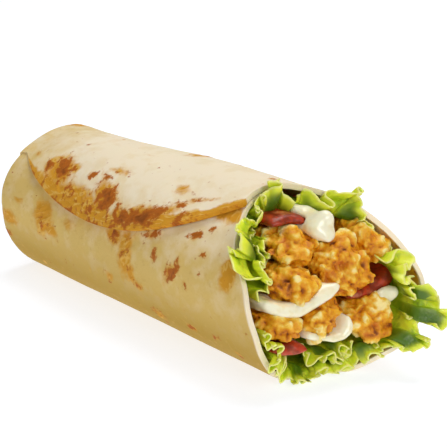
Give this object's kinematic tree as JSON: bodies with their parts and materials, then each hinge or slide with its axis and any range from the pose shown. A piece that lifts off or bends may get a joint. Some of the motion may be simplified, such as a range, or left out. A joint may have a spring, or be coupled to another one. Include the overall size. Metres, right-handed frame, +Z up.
{
  "type": "fried chicken wrap",
  "caption": "Fried chicken wrap lying on its side: a toasted flour tortilla rolled round fried chicken, lettuce, tomato and white sauce, open at one end.",
  "frame": {"origin": "middle of the underside of the bounding box, on the surface that the wrap lies on", "axes": "+X along the roll towards its open mouth, +Y to the side away from the free edge of the flap, +Z up"},
  "size_m": [0.1816, 0.0654, 0.0644],
  "materials": {
    "tortilla": "matt baked flour dough with toasted brown patches",
    "chicken": "craggy golden fried crust with a light sheen of oil",
    "lettuce": "fresh thin leaf, slightly waxy, paler at the frilled edge",
    "tomato": "wet cut tomato",
    "sauce": "smooth glossy white sauce"
  },
  "bodies": {
    "root": {"tortilla": "tortilla", "tomato_top": "tomato", "tomato_far": "tomato", "tomato_low": "tomato", "chicken_centre": "chicken", "chicken_far_top": "chicken", "chicken_near_top": "chicken", "chicken_near": "chicken", "chicken_low_near": "chicken", "chicken_low_middle": "chicken", "chicken_low_far": "chicken", "sauce_top": "sauce", "sauce_middle": "sauce", "sauce_far": "sauce", "sauce_low": "sauce", "lettuce_near_rim": "lettuce", "lettuce_near_top": "lettuce", "lettuce_near": "lettuce", "lettuce_near_fold": "lettuce", "lettuce_top": "lettuce", "lettuce_far_top": "lettuce", "lettuce_far": "lettuce", "lettuce_far_low": "lettuce", "lettuce_far_curl": "lettuce", "lettuce_bottom_far": "lettuce", "lettuce_bottom": "lettuce", "lettuce_bottom_fold": "lettuce", "lettuce_near_low": "lettuce"}
  },
  "joints": []
}
